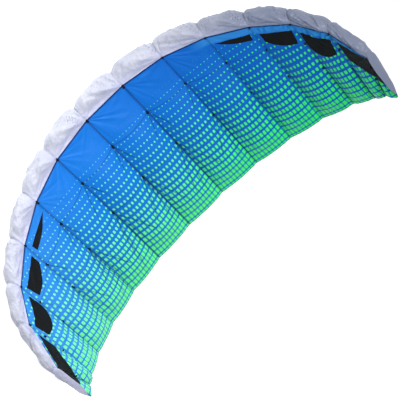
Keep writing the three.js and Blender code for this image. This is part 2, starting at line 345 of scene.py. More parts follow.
def nose_folds(cell, a, along, nose):
    """One large fold, fullness towards the ribs, and straight creases."""
    width, chord = cell["width"], cell["chord"]
    x = a * width
    held = np.clip(8 * a * (1 - a), 0, 1)

    def beside(start, turn):
        """How far off a straight line through start, and how far along it."""
        cosine, sine = math.cos(turn), math.sin(turn)
        from_x, from_y = x - start[0], along - start[1]
        return from_x * sine - from_y * cosine, from_x * cosine + from_y * sine

    # The large fold runs from the outline down to the base of the next rib.
    start = ((FOLD_ACROSS + FOLD_SWAY * math.sin(FOLD_TURN * cell["i"])) * width, FOLD_BACK * chord)
    off, reach = beside(start, math.atan2(FOLD_FOOT - start[1], width - start[0]))
    ends = 1 - smoothstep(along, start[1] + FOLD_END[0], start[1] + FOLD_END[1])
    crest = tent(off, np.where(off < 0, *FOLD_WIDTHS)) * smoothstep(reach, -FOLD_LEAD, 0.0) * ends
    lift = FOLD_HEIGHT * crest * held
    off_middle = (2 * a - 1) ** 2
    fullness = NOSE_FULLNESS * nose * smoothstep(along, *NOSE_FULLNESS_START)
    lift = lift + fullness * (off_middle - off_middle**2)
    # Most of the straight creases run towards the next rib's base.
    draw = np.random.default_rng(900 + cell["i"])
    for _ in range(NOSE_CREASES):
        start = (width * draw.uniform(*CREASE_ACROSS), chord * draw.uniform(*CREASE_BACK))
        off, reach = beside(start, draw.uniform(*CREASE_TURN))
        length = draw.uniform(*CREASE_LENGTH)
        height = draw.choice((-1, 1, 1)) * draw.uniform(*CREASE_HEIGHT)
        crease = tent(off, draw.uniform(*CREASE_WIDTH)) * np.sqrt(tent(reach, length))
        lift = lift + height * crease * held * smoothstep(along, *NOSE_CREASE_START)
    return lift


def nose_fan(along, from_rib, seed, end):
    """Creases that fan out over the nose from the rib's base."""
    turn = np.arctan2(along, np.maximum(from_rib, 1e-6))
    far = np.hypot(along, from_rib)
    fan = 1 - 3 * np.abs(soft_noise(turn, seed + 13 + end, FAN_STEP))
    return FAN_HEIGHTS[end] * fan * smoothstep(far, *FAN_START) * (1 - smoothstep(far, *FAN_END))


def gathers(kind, t, along, from_rib, seed, end):
    """Gathers square to the rib's seam."""
    if kind == "belly":
        depth = 0.0002 + 0.0014 * smoothstep(t, 0.2, 1.0)
    else:
        depth = 0.0006 + 0.0010 * (1 - smoothstep(t, 0.3, 0.5)) * smoothstep(along, 0.02, 0.04)
    slant = GATHER_SLANT * soft_noise(along, seed + 3 + end, GATHER_SLANT_STEP)
    lift = 0.0
    for step, reach, share in GATHERS:
        gather = soft_noise(along + slant * from_rib, seed + 7 * end + int(1e4 * step), step)
        lift = lift + share * depth * gather * np.exp(-from_rib / reach)
    return lift


def belly_folds(t, along, from_rib, rise, seed, end):
    """Streaks from the rib's front end, long folds to the trailing edge, and the groove at the rib."""
    turn = np.arctan2(along, np.maximum(from_rib, 1e-6))
    far = np.hypot(along, from_rib)
    streaks = soft_noise(turn, seed + 11 + end, STREAK_STEP)
    streaks = STREAK_HEIGHT * streaks * smoothstep(far, *STREAK_START) * (1 - smoothstep(far, *STREAK_END))
    behind = smoothstep(t, 0.22, 1.0)
    spread = from_rib / lerp(*LONG_FOLD_SPREAD, smoothstep(t, 0.3, 1.0))
    wander = LONG_FOLD_WANDER * soft_noise(along, seed + 21 + end, LONG_FOLD_WANDER_STEP)
    folds = soft_noise(spread + wander, seed + 23 + end, LONG_FOLD_STEP)
    folds = LONG_FOLD_HEIGHT * behind * folds * rise * np.exp(-(from_rib / LONG_FOLD_REACH) ** 2)
    groove = GROOVE_DEPTH * behind * (1 - np.exp(-from_rib / GROOVE_WIDTH))
    return streaks + folds + groove


def wrinkles(cell, kind, a, t, along, free=1.0):
    """How far the cloth stands out from its smooth form, from gathers, folds, fans and creases."""
    i, width = cell["i"], cell["width"]
    seed = 100 * i + (50 if kind == "top" else 0)
    fade = 4 * a * (1 - a)
    x = a * width
    lift = SLACK_HEIGHT * soft_noise_2d(x, along, seed, SLACK_STEP) * fade
    if kind == "belly":
        lift = lift + BELLY_CRUMPLE_HEIGHT * crumple(x, along, seed + 5, BELLY_CRUMPLE_STEP) * fade**0.5
    else:
        nose = 1 - smoothstep(t, *NOSE_END)
        height = TOP_CRUMPLE_HEIGHT + NOSE_CRUMPLE_HEIGHT * nose * smoothstep(along, *NOSE_CRUMPLE_START)
        lift = lift + height * crumple(x, along, seed + 5, TOP_CRUMPLE_STEP) * fade**0.5
        lift = lift + nose_folds(cell, a, along, nose)
    for end, from_rib in ((0, x), (1, width - x)):
        if i + end in (0, len(cells)):
            continue
        rise = np.clip(from_rib / SEAM_RISE, 0, 1)
        lift = lift + gathers(kind, t, along, from_rib, seed, end) * rise
        if kind == "belly":
            lift = lift + belly_folds(t, along, from_rib, rise, seed, end)
        else:
            lift = lift + nose_fan(along, from_rib, seed, end) * rise
    if kind == "belly" and i >= MIDDLE + 4:
        strip = free * (1 - smoothstep(along, *STRIP_END)) * smoothstep(along, *STRIP_START)
        gather = soft_noise(x + STRIP_SLANT * along, seed + 31, STRIP_STEP)
        lift = lift + STRIP_HEIGHT * strip * np.clip(3 * fade, 0, 1) * gather
    return lift * np.minimum(along, FRONT_RISE) / FRONT_RISE


def rows_between(length, fine, fine_step, step):
    """Distances from 0 to length, closer together over the first stretch."""
    near = min(fine, length)
    first = np.linspace(0, near, max(2, int(near / fine_step) + 1))
    if length <= near:
        return first
    rest = np.linspace(near, length, max(2, int((length - near) / step) + 1))
    return np.concatenate((first, rest[1:]))


COLUMN_SHARES = np.linspace(0, 1, COLUMNS + 1)
COLUMN_SHARES = lerp(COLUMN_SHARES, 0.5 - 0.5 * np.cos(np.pi * COLUMN_SHARES), COLUMN_CROWDING)


def section_lengths(cell, kind):
    """Shares t of a section, and how far each lies from the front seam, halfway across the cell."""
    t = np.linspace(0, 1, 401)
    points, _ = cloth_points(cell, kind, np.full_like(t, 0.5), t)
    return t, np.concatenate(([0], np.cumsum(np.linalg.norm(np.diff(points, axis=0), axis=1))))


def grid_triangles(rows, columns):
    at = np.arange(rows * columns).reshape(rows, columns)
    a, b, c, d = at[:-1, :-1], at[:-1, 1:], at[1:, 1:], at[1:, :-1]
    return np.concatenate((np.stack((a, b, c), -1).reshape(-1, 3), np.stack((a, c, d), -1).reshape(-1, 3)))


def close_sheet(triangles, count):
    """Triangles of both faces and of the walls between them. The inner face's points come second."""
    edges = np.concatenate((triangles[:, :2], triangles[:, 1:], triangles[:, ::-2]))
    rim = edges[~np.isin(edges[:, 1] * count + edges[:, 0], edges[:, 0] * count + edges[:, 1])]
    a, b = rim.T
    walls = np.concatenate((
        np.stack((b, a, a + count), 1), np.stack((b, a + count, b + count), 1)))
    return np.concatenate((triangles, triangles[:, ::-1] + count, walls))


def make_mesh(name, points, triangles, layers=None):
    mesh = bpy.data.meshes.new(name)
    mesh.vertices.add(len(points))
    mesh.vertices.foreach_set("co", np.asarray(points, np.float32).ravel())
    mesh.loops.add(3 * len(triangles))
    mesh.loops.foreach_set("vertex_index", np.asarray(triangles, np.int32).ravel())
    mesh.polygons.add(len(triangles))
    mesh.polygons.foreach_set("loop_start", np.arange(0, 3 * len(triangles), 3, dtype=np.int32))
    mesh.update(calc_edges=True)
    for layer, values in (layers or {}).items():
        mesh.attributes.new(layer, "FLOAT", "POINT").data.foreach_set("value", np.asarray(values, np.float32))
    mesh.polygons.foreach_set("use_smooth", np.ones(len(triangles), bool))
    mesh.set_sharp_from_angle(angle=math.radians(50))
    mesh.validate()
    piece = bpy.data.objects.new(name, mesh)
    bpy.context.scene.collection.objects.link(piece)
    return piece


def dress(piece, material, slot, *nodes):
    piece.data.materials.append(material)
    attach(piece, "root")
    if nodes:
        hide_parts(*nodes)
    return piece


def cut_size(cell, kind):
    """A panel's flat width and length, and its area, from its smooth form."""
    a, t = np.meshgrid(np.linspace(0, 1, 25), np.linspace(0, 1, 61))
    points = cloth_points(cell, kind, a.ravel(), t.ravel())[0].reshape(61, 25, 3)
    across, along = np.diff(points, axis=1), np.diff(points, axis=0)
    area = np.linalg.norm(np.cross(across[1:] + across[:-1], along[:, 1:] + along[:, :-1]), axis=2).sum() / 4
    width = np.linalg.norm(across, axis=2).sum(1).max()
    length = np.linalg.norm(along, axis=2).sum(0).max()
    # A slanted tip panel is as wide as a triangle of its length and area.
    width = min(width, 2 * area / length)
    return width, length, min(area, width * length)


def cloth_sheet(name, cell, kind, a, t, triangles, free=1.0):
    """A closed sheet from shares a, t and their triangles. free is 0 where an inlet holds it."""
    shares, distances = section_lengths(cell, kind)
    lengths = np.interp(t, shares, distances)
    margin = SEAM_GAP / 2 / cell["width"]
    inside = lerp(margin, 1 - margin, a)
    lift = wrinkles(cell, kind, inside, t, lengths, free)
    outer, facing = cloth_points(cell, kind, inside, t, lift)
    corner = outer[triangles[:400]]
    turn = np.einsum("ij,ij->i", np.cross(corner[:, 1] - corner[:, 0], corner[:, 2] - corner[:, 0]),
                     facing[triangles[:400, 0]])
    if turn.sum() < 0:
        triangles = triangles[:, ::-1]
    inner = outer - facing * CLOTH
    points = np.concatenate((lay_down(outer), lay_down(inner, CLOTH)))
    span = lerp(lerp(*cell["left"]["spans"], t), lerp(*cell["right"]["spans"], t), a)
    layers = {
        "cloth_u": span,
        "cloth_v": -outer[:, 1],
        "from_rib": np.minimum(a, 1 - a) * cell["width"],
        "across": a,
        "from_front": lengths,
        "chord_share": t,
        "behind_b": (t - LOOP_ROWS[1]) * cell["chord"],
        "behind_c": (t - LOOP_ROWS[2]) * cell["chord"],
        "which": np.where(a < 0.5, 2.0 * cell["i"], 2.0 * cell["i"] + 1),
        "from_back": distances[-1] - lengths,
    }
    layers = {key: np.tile(value, 2) for key, value in layers.items()}
    return make_mesh(name, points, close_sheet(triangles, len(outer)), layers)


def plain_panel(name, cell, kind):
    shares, lengths = section_lengths(cell, kind)
    if kind == "top":
        rows = rows_between(lengths[-1], 0.19 * cell["chord"] / 0.62 + 0.02, 0.0028, 0.0085)
    else:
        rows = rows_between(lengths[-1], 0.14, 0.0034, 0.0052)
    t = np.interp(rows, lengths, shares)
    t[0], t[-1] = 0, 1
    at_a, at_t = np.meshgrid(COLUMN_SHARES, t)
    triangles = grid_triangles(len(t), len(COLUMN_SHARES))
    return cloth_sheet(name, cell, kind, at_a.ravel(), at_t.ravel(), triangles)


def inlet_outline(cell, side, corners):
    """The inlet's outline, in metres across the cell and behind the front seam."""
    n = len(corners)
    spots = [np.array((share * cell["width"], back)) for share, back, _ in corners]
    start = next(k for k in range(n) if corners[k][2])
    order = [(start + k) % n for k in range(n + 1)]
    line = []
    run = [spots[order[0]]]
    for k in order[1:]:
        run.append(spots[k])
        if corners[k][2]:
            length = sum(np.linalg.norm(q - p) for p, q in zip(run, run[1:]))
            curve = centripetal_curve(run, max(3, int(length / 0.003)))
            line.extend(curve[:-1])
            run = [spots[k]]
    line = np.array(line)
    if side < 0:
        line[:, 0] = cell["width"] - line[:, 0]
    chords = lerp(cell["left"]["chord"], cell["right"]["chord"], np.clip(line[:, 0] / cell["width"], 0, 1))
    line[:, 1] *= cell["chord"] / chords
    return line


def in_outline(points, outline):
    """Whether points lie inside a closed outline."""
    x, y = points[:, 0][:, None], points[:, 1][:, None]
    p, q = outline, np.roll(outline, -1, axis=0)
    crosses = (p[:, 1] > y) != (q[:, 1] > y)
    rise = np.where(q[:, 1] == p[:, 1], 1e-12, q[:, 1] - p[:, 1])
    level = (q[:, 0] - p[:, 0]) * (y - p[:, 1]) / rise + p[:, 0]
    return (np.sum(crosses & (x < level), axis=1) % 2).astype(bool)


def panel_with_inlet(belly_name, inlet_name, cell, side, corners):
    """A belly panel with its inlet cut out, and the mesh that fills it."""
    width, chord = cell["width"], cell["chord"]
    line = inlet_outline(cell, side, corners)
    rows = rows_between(chord, 0.17, 0.0034, 0.0054)
    grid = np.stack(np.meshgrid(COLUMN_SHARES * width, rows), -1).reshape(-1, 2)
    held = line.copy()
    held[:, 0] = np.clip(held[:, 0], 0, width)
    keep = np.ones(len(held), bool)
    keep[1:] = np.linalg.norm(np.diff(held, axis=0), axis=1) > 1e-5
    held = held[keep]
    gap = np.min(np.linalg.norm(grid[:, None] - held[None], axis=2), axis=1)
    border = (grid[:, 0] < 1e-9) | (grid[:, 0] > width - 1e-9)
    grid = grid[(gap > 0.0013) | (border & (gap > 1e-5))]
    spots = np.concatenate((held, grid))
    loop = [(k, (k + 1) % len(held)) for k in range(len(held))]
    found = delaunay_2d_cdt([Vector(p) for p in spots], loop, [], 0, 1e-7)
    spots = np.array([tuple(p) for p in found[0]])
    triangles = np.array([f for f in found[2] if len(f) == 3])
    inside = in_outline(spots[triangles].mean(1), line)
    made = []
    for name, part in ((belly_name, triangles[~inside]), (inlet_name, triangles[inside])):
        used, packed = np.unique(part, return_inverse=True)
        part = packed.reshape(-1, 3)
        at = spots[used].copy()
        if name == inlet_name:
            middle = at.mean(0)
            pull = middle - at
            rim = np.isin(used, np.arange(len(held)))
            at[rim] += 0.0003 * unit(pull[rim])
        a = np.clip(at[:, 0] / width, 0, 1)
        t = np.clip(at[:, 1] / chord, 0, 1)
        free = 0.0
        if name == belly_name:
            free = smoothstep(np.min(np.linalg.norm(at[:, None] - held[None], axis=2), axis=1), 0.002, 0.01)
        made.append(cloth_sheet(name, cell, "belly", a, t, part, free))
    return made


# Materials.
def linear(red, green, blue):
    """A colour given as sRGB from 0 to 255, for a shader's socket."""
    def one(c):
        c /= 255
        return c / 12.92 if c <= 0.04045 else ((c + 0.055) / 1.055) ** 2.4
    return (one(red), one(green), one(blue), 1.0)


class Cloth:
    """A material's node tree, with short calls for the nodes it uses."""

    def __init__(self, name, roughness, **sockets):
        self.material = bpy.data.materials.new(name)
        self.material.use_nodes = True
        self.tree = self.material.node_tree
        self.shader = self.tree.nodes["Principled BSDF"]
        self.shader.inputs["Roughness"].default_value = roughness
        for socket, value in sockets.items():
            self.shader.inputs[socket.replace("_", " ")].default_value = value

    def put(self, socket, value):
        if isinstance(value, bpy.types.NodeSocket):
            self.tree.links.new(value, socket)
        else:
            socket.default_value = value

    def node(self, kind, inputs=(), **settings):
        made = self.tree.nodes.new("ShaderNode" + kind)
        for setting, value in settings.items():
            setattr(made, setting, value)
        for socket, value in dict(inputs).items():
            self.put(made.inputs[socket], value)
        return made

    def math(self, operation, *values):
        return self.node("Math", enumerate(values), operation=operation).outputs[0]

    def add(self, a, b):
        return self.math("ADD", a, b)

    def times(self, a, b):
        return self.math("MULTIPLY", a, b)

    def layer(self, name):
        return self.node("Attribute", attribute_name=name).outputs["Fac"]

    def ramp(self, value, low, high, start=0.0, end=1.0):
        """value mapped smoothly from low..high to start..end, and held beyond them."""
        return self.node("MapRange", {0: value, 1: low, 2: high, 3: start, 4: end},
                         interpolation_type="SMOOTHSTEP").outputs[0]

    def line(self, value, at, width, soft):
        """1 where value is within width of at, falling to 0 over soft."""
        off = self.math("ABSOLUTE", self.math("SUBTRACT", value, at))
        return self.ramp(off, width, width + soft, 1.0, 0.0)

    def mix(self, share, a, b, blend="MIX"):
        made = self.node("Mix", data_type="RGBA", blend_type=blend)
        self.put(made.inputs[0], share)
        self.put(made.inputs[6], a)
        self.put(made.inputs[7], b)
        return made.outputs[2]

    def place(self):
        return self.node("TexCoord").outputs["Object"]

    def noise(self, scale, detail=3.0, rough=0.55):
        return self.node("TexNoise", {"Vector": self.place(), "Scale": scale, "Detail": detail,
                                      "Roughness": rough}).outputs[0]

    def bump(self, height, strength, distance):
        made = self.node("Bump", {"Height": height, "Strength": strength, "Distance": distance})
        self.put(self.shader.inputs["Normal"], made.outputs[0])

    def colour(self, value):
        self.put(self.shader.inputs["Base Color"], value)

    def weave(self):
        """Ripstop's grid of thicker threads, one every 5 mm of the cloth."""
        u, v = self.layer("cloth_u"), self.layer("cloth_v")
        threads = []
        for along in (u, v):
            step = self.math("FRACT", self.times(along, 200.0))
            threads.append(self.line(step, 0.5, 0.04, 0.06))
        return self.math("MAXIMUM", *threads)

    def stitches(self, distance, at):
        """A row of stitches along a seam, at that distance from it."""
        dash = self.math("FRACT", self.times(self.add(self.layer("cloth_v"), self.layer("cloth_u")), 330.0))
        return self.times(self.line(distance, at, 0.0003, 0.0003), self.ramp(dash, 0.3, 0.45))


def dot_print(c, u, v):
    """1 inside a printed dot, and 0 outside."""
    def nearest(value, pitch, phase):
        row = c.math("ROUND", c.times(c.math("SUBTRACT", value, phase), 1 / pitch))
        middle = c.add(c.times(row, pitch), phase)
        return middle, c.math("ABSOLUTE", c.math("SUBTRACT", value, middle))

    _, off_u = nearest(u, DOT_PITCH[0], DOT_PHASE[0])
    row_v, off_v = nearest(v, DOT_PITCH[1], DOT_PHASE[1])
    half_w, half_h = (
        c.node("MapRange", {0: row_v, 1: DOT_START, 2: ROOT_CHORD, 3: small / 2, 4: large / 2}).outputs[0]
        for small, large in (DOT_WIDTH, DOT_HEIGHT))
    round_off = c.times(c.math("MINIMUM", half_w, half_h), c.ramp(row_v, *DOT_ROUNDNESS_ROWS, *DOT_ROUNDNESS))
    beyond = [c.math("SUBTRACT", off, c.math("SUBTRACT", half, round_off))
              for off, half in ((off_u, half_w), (off_v, half_h))]
    reach = c.math("SQRT", c.add(*(c.math("POWER", c.math("MAXIMUM", b, 0.0), 2.0) for b in beyond)))
    within = c.math("MINIMUM", c.math("MAXIMUM", *beyond), 0.0)
    signed = c.math("SUBTRACT", c.add(reach, within), round_off)
    fade_in = c.ramp(row_v, DOT_START - 0.01, DOT_START + 0.03)
    return c.times(c.ramp(signed, -0.0006, 0.0006, 1.0, 0.0), fade_in)


def belly_creases(c, across, from_rib, outer):
    """Thin creases from the loops towards the trailing edge, each at its own slope, weaker towards the tips:
    the mask for their painted shade and their groove in the bump.
    """
    bend = c.times(c.math("SUBTRACT", c.noise(11.0, 1.0), 0.5), 0.012)
    aside = c.math("ABSOLUTE", c.math("SUBTRACT", across, 0.5))
    creases = 0.0
    for behind, reach, slopes in CREASES:
        behind = c.layer(behind)
        for k, slope in enumerate(slopes):
            own = c.node("TexNoise", {"W": c.math("MULTIPLY_ADD", c.layer("which"), 7.3, 3.1 * k + slope),
                                      "Scale": 1.0, "Detail": 0.0}, noise_dimensions="1D").outputs[0]
            own = c.math("SUBTRACT", own, 0.5)
            at = c.times(behind, c.math("MULTIPLY_ADD", own, 0.35, slope))
            off = c.math("ABSOLUTE", c.math("SUBTRACT", c.add(from_rib, bend), at))
            ends = c.math("MULTIPLY_ADD", own, 0.5 * reach, reach)
            faded = c.math("SUBTRACT", 1.0, c.math("DIVIDE", behind, ends))
            faded = c.times(c.ramp(faded, 0.0, 0.4), c.ramp(behind, 0.002, 0.02))
            creases = c.math("MAXIMUM", c.times(c.ramp(off, 0.0013, 0.0040, 1.0, 0.0), faded), creases)
    return c.times(c.times(creases, c.ramp(aside, 0.03, 0.12)), c.ramp(outer, 0.25, 0.7, 1.0, 0.3))


def belly_seams(c, across, from_rib, from_front, outer):
    """Darker marks where the cloth is double and lets less light through, painted as shade: seams, front
    tape, hem and span lines, and a wider painted shade in the groove beside each rib. The seam marks weaken
    towards the tips.
    """
    seam = c.ramp(from_rib, 0.0008, 0.0030, 0.8, 0.0)
    # A wider painted shade for the groove beside each rib; with the seam line it weakens towards the tips.
    seam = c.math("MAXIMUM", seam, c.ramp(from_rib, 0.002, 0.012, 0.2, 0.0))
    seam = c.times(seam, c.ramp(outer, 0.2, 0.65, 1.0, 0.55))
    front = c.ramp(from_front, 0.0045, 0.0085, 1.0, 0.0)
    hem = c.ramp(c.layer("from_back"), 0.004, 0.0055, 0.55, 0.0)
    shade = c.math("MAXIMUM", c.math("MAXIMUM", seam, front), hem)
    bow = c.times(c.times(across, c.math("SUBTRACT", 1.0, across)), 4.0)
    for at, sag in zip(LOOP_ROWS[1:], SPAN_LINE_SAGS):
        spot = c.math("SUBTRACT", c.layer("chord_share"), c.times(bow, sag))
        shade = c.math("MAXIMUM", shade, c.times(c.line(spot, at, 0.0012, 0.0022), 0.6))
    return shade


def printed_ripstop():
    c = Cloth("printed_ripstop", 0.45, Specular_IOR_Level=0.16)
    u, v = c.layer("cloth_u"), c.layer("cloth_v")
    from_rib, from_front, across = (c.layer(name) for name in ("from_rib", "from_front", "across"))
    outer = c.math("ABSOLUTE", c.add(u, 0.15))
    dot = dot_print(c, u, v)
    ground = c.mix(c.ramp(v, 0.0, 0.6), linear(20, 122, 222), linear(14, 120, 200))
    dots = c.mix(c.ramp(v, 0.12, 0.30), linear(104, 222, 222), linear(126, 248, 168))
    dots = c.mix(c.ramp(v, 0.36, 0.62), dots, linear(104, 252, 122))
    # Painted shade: the right wing's print is painted deeper and darker, for the shade it lies in.
    right_wing_shade = c.ramp(u, -0.35, 0.6)
    ground = c.mix(c.times(right_wing_shade, 0.7), ground, linear(0, 92, 190))
    dots = c.mix(c.times(right_wing_shade, 0.75), dots, linear(34, 248, 98))
    # Painted light: the left wing's print is painted paler, for the light that falls through and on it.
    left_wing_light = c.ramp(u, -0.9, -0.3, 0.55, 0.0)
    ground = c.mix(left_wing_light, ground, linear(72, 162, 240))
    dots = c.mix(left_wing_light, dots, linear(136, 250, 190))
    # The gathered strips in front of the right wing's inlets are hardly printed, and carry a painted
    # highlight: a paler blue for their shine.
    strip = c.times(c.ramp(u, 0.38, 0.46), c.ramp(from_front, 0.028, 0.044, 1.0, 0.0))
    ground = c.mix(c.times(strip, 0.45), ground, linear(70, 170, 240))
    dot = c.times(dot, c.math("SUBTRACT", 1.0, c.times(strip, 0.85)))
    paint = c.mix(dot, ground, dots)
    paint = c.mix(c.times(c.noise(9.0), 0.10), paint, linear(12, 96, 190))
    creases = belly_creases(c, across, from_rib, outer)
    # Painted shade: the creases are painted darker.
    paint = c.mix(c.times(creases, 0.6), paint, linear(2, 66, 100))
    shade = belly_seams(c, across, from_rib, from_front, outer)
    # Painted shade at the seams, front tape, hem, span lines and rib grooves.
    paint = c.mix(c.times(shade, 0.9), paint, linear(5, 36, 100))
    c.colour(c.mix(c.times(c.stitches(from_rib, 0.0045), 0.35), paint, linear(6, 50, 120)))
    height = c.add(c.times(c.weave(), 0.15), c.times(c.noise(55.0, 4.0, 0.6), 1.0))
    c.bump(c.math("SUBTRACT", height, c.times(creases, 1.2)), 0.45, 0.0014)
    return c.material


def white_ripstop():
    c = Cloth("white_ripstop", 0.38, Specular_IOR_Level=0.45)
    from_rib, from_front, u = c.layer("from_rib"), c.layer("from_front"), c.layer("cloth_u")
    fold = c.math("SUBTRACT", 1.0, c.math("ABSOLUTE", c.math("MULTIPLY_ADD", c.noise(26.0, 2.0), 5.0, -2.5)))
    fine = c.math("SUBTRACT", 1.0, c.math("ABSOLUTE", c.math("MULTIPLY_ADD", c.noise(60.0, 2.0), 5.0, -2.5)))
    paint = c.mix(c.ramp(c.noise(15.0), 0.38, 0.62), linear(196, 199, 215), linear(204, 207, 222))
    # Painted shade: greyer along the ridges of the fold noise, which also shape the bump.
    paint = c.mix(c.ramp(fold, 0.86, 1.0, 0.0, 0.3), paint, linear(158, 163, 188))
    # Painted shade: a lavender band along the nose beside the front seam.
    paint = c.mix(c.ramp(from_front, 0.014, 0.046, 0.8, 0.0), paint, linear(190, 193, 222))
    # Painted shade: the right wing's skin is painted greyer, for the shade it lies in.
    paint = c.mix(c.ramp(u, 0.28, 0.72, 0.0, 0.9), paint, linear(132, 142, 168))
    hem = c.ramp(c.layer("from_back"), 0.004, 0.0055, 0.4, 0.0)
    seam = c.math("MAXIMUM", c.ramp(from_rib, 0.0012, 0.004, 0.4, 0.0), hem)
    paint = c.mix(seam, paint, linear(150, 154, 182))
    c.colour(c.mix(c.times(c.stitches(from_rib, 0.0035), 0.5), paint, linear(120, 126, 150)))
    c.bump(c.add(c.times(c.weave(), 0.1), c.add(fold, c.times(fine, 0.5))), 0.6, 0.0022)
    return c.material


def rib_ripstop():
    c = Cloth("rib_ripstop", 0.6, Sheen_Weight=0.1)
    c.colour(c.mix(c.noise(12.0), linear(222, 225, 236), linear(240, 241, 247)))
    c.bump(c.noise(80.0, 4.0, 0.6), 0.3, 0.001)
    return c.material


def black_mesh():
    c = Cloth("black_mesh", 0.6, Specular_IOR_Level=0.2)
    u, v = c.layer("cloth_u"), c.layer("cloth_v")
    holes = c.times(*(c.line(c.math("FRACT", c.times(along, 500.0)), 0.5, 0.22, 0.12) for along in (u, v)))
    c.colour(c.mix(holes, linear(8, 12, 16), linear(2, 3, 4)))
    c.bump(c.math("SUBTRACT", c.noise(60.0), c.times(holes, 0.6)), 0.5, 0.001)
    return c.material


def black_webbing():
    c = Cloth("black_webbing", 0.7, Specular_IOR_Level=0.2)
    c.colour(c.mix(c.noise(400.0), linear(6, 8, 14), linear(26, 28, 36)))
    c.bump(c.noise(700.0), 0.6, 0.0006)
    return c.material


PRINTED, WHITE, RIB = printed_ripstop(), white_ripstop(), rib_ripstop()
MESH, WEBBING = black_mesh(), black_webbing()

# The camera stands where the photograph was taken from, in the upright wing's frame.
VIEW_TILT, VIEW_YAW, VIEW_ROLL = (math.radians(x) for x in (30.154, -0.453, -44.047))
VIEW_DISTANCE = 4.4
VIEW_AIM = np.array((0.0034, -0.5323, 0.15))
VIEW_PIXELS = 1089.49


def make_camera():
    towards = np.array((math.sin(VIEW_YAW) * math.cos(VIEW_TILT), math.sin(VIEW_TILT),
                        math.cos(VIEW_YAW) * math.cos(VIEW_TILT)))
    up = unit(np.array((0.0, 1.0, 0.0)) - towards[1] * towards)
    right = np.cross(up, towards)
    axes = np.stack((math.cos(VIEW_ROLL) * right + math.sin(VIEW_ROLL) * up,
                     math.cos(VIEW_ROLL) * up - math.sin(VIEW_ROLL) * right, towards), axis=1)
    place = NOSE_TURN @ (VIEW_AIM + VIEW_DISTANCE * towards) + (0, REST_SETBACK, -GROUND)
    data = bpy.data.cameras.new("camera")
    data.sensor_width = 36
    data.lens = 36 * VIEW_PIXELS / 400
    data.clip_start, data.clip_end = 0.1, 40
    camera = bpy.data.objects.new("camera", data)
    matrix = Matrix((NOSE_TURN @ axes).tolist()).to_4x4()
    matrix.translation = Vector(place)
    camera.matrix_world = matrix
    bpy.context.scene.collection.objects.link(camera)
    bpy.context.scene.camera = camera


make_camera()


def numbered(name, i):
    return f"{name}_{i + 1:02d}"


# The cloth.
sheets = {}
inlet_of = {MIDDLE + side * cell: (side, corners) for cell, corners in INLETS for side in (-1, 1)}
for i, cell in enumerate(cells):
    top = plain_panel(numbered("top_cloth", i), cell, "top")
    sheets["top", i] = dress(top, WHITE, "white_ripstop", numbered("top_panel", i))
    if i in inlet_of:
        side, corners = inlet_of[i]
        belly, inlet = panel_with_inlet(
            numbered("belly_cloth", i), numbered("inlet_mesh", i), cell, side, corners)
        sheets["inlet", i] = dress(inlet, MESH, "black_mesh", numbered("air_inlet", i))
    else:
        belly = plain_panel(numbered("belly_cloth", i), cell, "belly")
    sheets["belly", i] = dress(belly, PRINTED, "printed_ripstop", numbered("belly_panel", i))

# A knotted loop of cord in three places on each rib: at the front seam, and in two rows behind it.
# Sizes are those of the largest loops.
LOOP_REACH, LOOP_RISE, LOOP_CORD, LOOP_BASE = 0.0065, 0.0052, 0.0017, 0.001
TOP_KNOT_AT, TOP_KNOT_SIZE = 0.0105, 0.0044
BASE_KNOT_AT, BASE_KNOT_SIZE = 0.0015, 0.0046
# How small the outermost are, and over which distance from the largest they shrink.
LOOP_SHRINK, LOOP_SHRINK_FROM, LOOP_LARGEST = 0.65, (0.25, 0.6), -0.15


def tube_ring(centre, along, up, reach, rise, thick, turns=14, sides=8):
    """A closed loop of cord that stands on the belly."""
    round_it = np.linspace(0, 2 * math.pi, turns, endpoint=False)
    line = centre + np.cos(round_it)[:, None] * along * reach + (0.9 + np.sin(round_it))[:, None] * up * rise
    ahead = unit(np.roll(line, -1, axis=0) - np.roll(line, 1, axis=0))
    side = unit(np.cross(along, up))
    normal = np.cross(ahead, side)
    around = np.linspace(0, 2 * math.pi, sides, endpoint=False)
    points = line[:, None] + thick * (np.cos(around)[None, :, None] * normal[:, None]
                                      + np.sin(around)[None, :, None] * side)
    at = np.arange(turns * sides).reshape(turns, sides)
    b, c = np.roll(at, -1, axis=0), np.roll(at, -1, axis=1)
    d = np.roll(b, -1, axis=1)
    triangles = np.concatenate(
        (np.stack((at, b, d), -1).reshape(-1, 3), np.stack((at, d, c), -1).reshape(-1, 3)))
    return points.reshape(-1, 3), triangles


def knot_ball(centre, along, up, size, turn):
    """A small overhand knot: a lumpy ball."""
    rings, sides = 7, 10
    around = np.linspace(0, 2 * math.pi, sides, endpoint=False)
    high, around = np.meshgrid(np.linspace(0, math.pi, rings), around, indexing="ij")
    lump = 1 + 0.22 * np.sin(3 * around + turn) * np.sin(2 * high)
    side = unit(np.cross(along, up))
    points = centre + size * lump[..., None] * (
        1.25 * np.cos(high)[..., None] * along + (np.sin(high) * np.cos(around))[..., None] * side
        + 0.8 * (np.sin(high) * np.sin(around))[..., None] * up)
    at = np.arange(rings * sides).reshape(rings, sides)
    b, c = at[1:], np.roll(at, -1, axis=1)[:-1]
    d = np.roll(at, -1, axis=1)[1:]
    at = at[:-1]
    return points.reshape(-1, 3), np.concatenate(
        (np.stack((at, b, d), -1).reshape(-1, 3), np.stack((at, d, c), -1).reshape(-1, 3)))


def belly_spot(at, share):
    """A point of the belly on a rib, with the ways back and away from the wing."""
    back = at["chord"] * share
    out = -4 * BELLY_CAMBER * at["chord"] * share * (1 - share)
    return at["lead"] + back * at["back"] + out * at["out"], at["back"], -at["out"]


